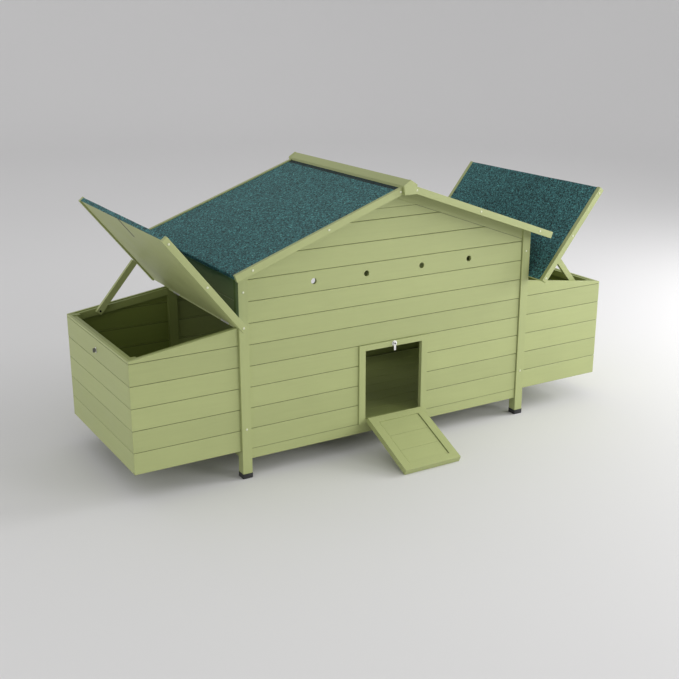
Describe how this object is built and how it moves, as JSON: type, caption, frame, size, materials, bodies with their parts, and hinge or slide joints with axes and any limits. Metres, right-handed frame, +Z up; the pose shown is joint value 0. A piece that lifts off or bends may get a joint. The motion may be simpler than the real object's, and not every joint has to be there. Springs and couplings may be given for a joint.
{
  "type": "chicken coop",
  "caption": "Raised wooden hen house with a gable roof, a fold-down ramp door, and a nest box with a hinged, propped lid on each end.",
  "frame": {"origin": "middle of the footprint on the ground, counted from the tip of the open ramp to the rear end of the ridge", "axes": "+X along the house from the left nest box to the right one, +Z up, and the front with the ramp faces -Y"},
  "size_m": [2.1598, 1.0726, 1.0644],
  "materials": {
    "painted_timber": "satin sage green paint on softwood boards, with faint grain and worn edges",
    "inside_timber": "matte sage green paint on softwood",
    "roofing_felt": "dark teal mineral roofing felt with coarse granules",
    "plated_steel": "bright zinc plated steel",
    "screw_heads": "pale painted steel screw heads",
    "cap_plastic": "matte black moulded plastic"
  },
  "bodies": {
    "house": {"floor_boards": "inside_timber", "floor_bearers": "inside_timber", "corner_posts": "painted_timber", "foot_caps": "cap_plastic", "bottom_rails": "painted_timber", "front_boards": "painted_timber", "back_boards": "painted_timber", "left_end_boards": "painted_timber", "right_end_boards": "painted_timber", "rake_rails": "painted_timber", "roof_beams": "painted_timber", "roof_deck_left": "painted_timber", "roof_deck_right": "painted_timber", "roof_felt_left": "roofing_felt", "roof_felt_right": "roofing_felt", "bargeboards": "painted_timber", "ridge_cap": "painted_timber", "pop_door_frame": "painted_timber", "rear_door_frame": "painted_timber", "lid_hinge_rails": "painted_timber", "perches": "inside_timber", "nest_lips": "painted_timber", "left_nest_front": "painted_timber", "left_nest_back": "painted_timber", "left_nest_end": "painted_timber", "left_nest_floor": "painted_timber", "left_nest_frame": "painted_timber", "left_nest_divider": "painted_timber", "right_nest_front": "painted_timber", "right_nest_back": "painted_timber", "right_nest_end": "painted_timber", "right_nest_floor": "painted_timber", "right_nest_frame": "painted_timber", "right_nest_divider": "painted_timber", "fixed_hinge_leaves": "plated_steel", "fixing_screws": "screw_heads", "latch_plates": "plated_steel"},
    "left_lid": {"left_lid_panel": "painted_timber", "left_lid_felt": "roofing_felt", "left_lid_battens": "painted_timber", "left_lid_hinges": "plated_steel", "left_lid_screws": "screw_heads"},
    "left_prop": {"left_lid_prop": "painted_timber"},
    "left_latch": {"left_nest_latch": "plated_steel"},
    "right_lid": {"right_lid_panel": "painted_timber", "right_lid_felt": "roofing_felt", "right_lid_battens": "painted_timber", "right_lid_hinges": "plated_steel", "right_lid_screws": "screw_heads"},
    "right_prop": {"right_lid_prop": "painted_timber"},
    "right_latch": {"right_nest_latch": "plated_steel"},
    "ramp": {"ramp_frame": "painted_timber", "ramp_planks": "painted_timber", "ramp_hinges": "plated_steel"},
    "front_button": {"pop_door_button": "plated_steel"},
    "rear_door": {"rear_door": "painted_timber", "rear_door_hinges": "plated_steel"},
    "rear_button": {"rear_door_button": "plated_steel"}
  },
  "joints": [
    {"name": "left_lid_hinge", "type": "hinge", "parent": "house", "child": "left_lid", "pos_m": [-0.66, 0.09479, 0.5963], "axis": [0, -1, 0], "range_deg": [0, 59.31]},
    {"name": "left_prop_pivot", "type": "hinge", "parent": "house", "child": "left_prop", "pos_m": [-0.946, 0.40799, 0.52699], "axis": [0, -1, 0], "range_deg": [-139.9, 0]},
    {"name": "left_latch_turn", "type": "hinge", "parent": "house", "child": "left_latch", "pos_m": [-1.0675, 0.09479, 0.472], "axis": [-1, 0, 0], "range_deg": [0, 90]},
    {"name": "right_lid_hinge", "type": "hinge", "parent": "house", "child": "right_lid", "pos_m": [0.66, 0.09479, 0.5963], "axis": [0, 1, 0], "range_deg": [0, 59.31]},
    {"name": "right_prop_pivot", "type": "hinge", "parent": "house", "child": "right_prop", "pos_m": [0.946, -0.21841, 0.52699], "axis": [0, 1, 0], "range_deg": [-139.9, 0]},
    {"name": "right_latch_turn", "type": "hinge", "parent": "house", "child": "right_latch", "pos_m": [1.0675, 0.09479, 0.472], "axis": [1, 0, 0], "range_deg": [0, 90]},
    {"name": "ramp_hinge", "type": "hinge", "parent": "house", "child": "ramp", "pos_m": [0, -0.25471, 0.113], "axis": [-1, 0, 0], "range_deg": [0, 113.53]},
    {"name": "front_button_turn", "type": "hinge", "parent": "house", "child": "front_button", "pos_m": [0, -0.25571, 0.4205], "axis": [0, -1, 0], "range_deg": [0, 90.2]},
    {"name": "rear_door_hinge", "type": "hinge", "parent": "house", "child": "rear_door", "pos_m": [0.199, 0.45029, 0.338], "axis": [0, 0, 1], "range_deg": [0, 180]},
    {"name": "rear_button_turn", "type": "hinge", "parent": "house", "child": "rear_button", "pos_m": [-0.214, 0.44529, 0.338], "axis": [0, 1, 0], "range_deg": [-90, 0]}
  ],
  "couplings": [
    {"joint": "left_prop_pivot", "follows": "left_lid_hinge", "ratio": -2.3552},
    {"joint": "right_prop_pivot", "follows": "right_lid_hinge", "ratio": -2.3552},
    {"joint": "front_button_turn", "follows": "ramp_hinge", "ratio": 0.79273}
  ]
}
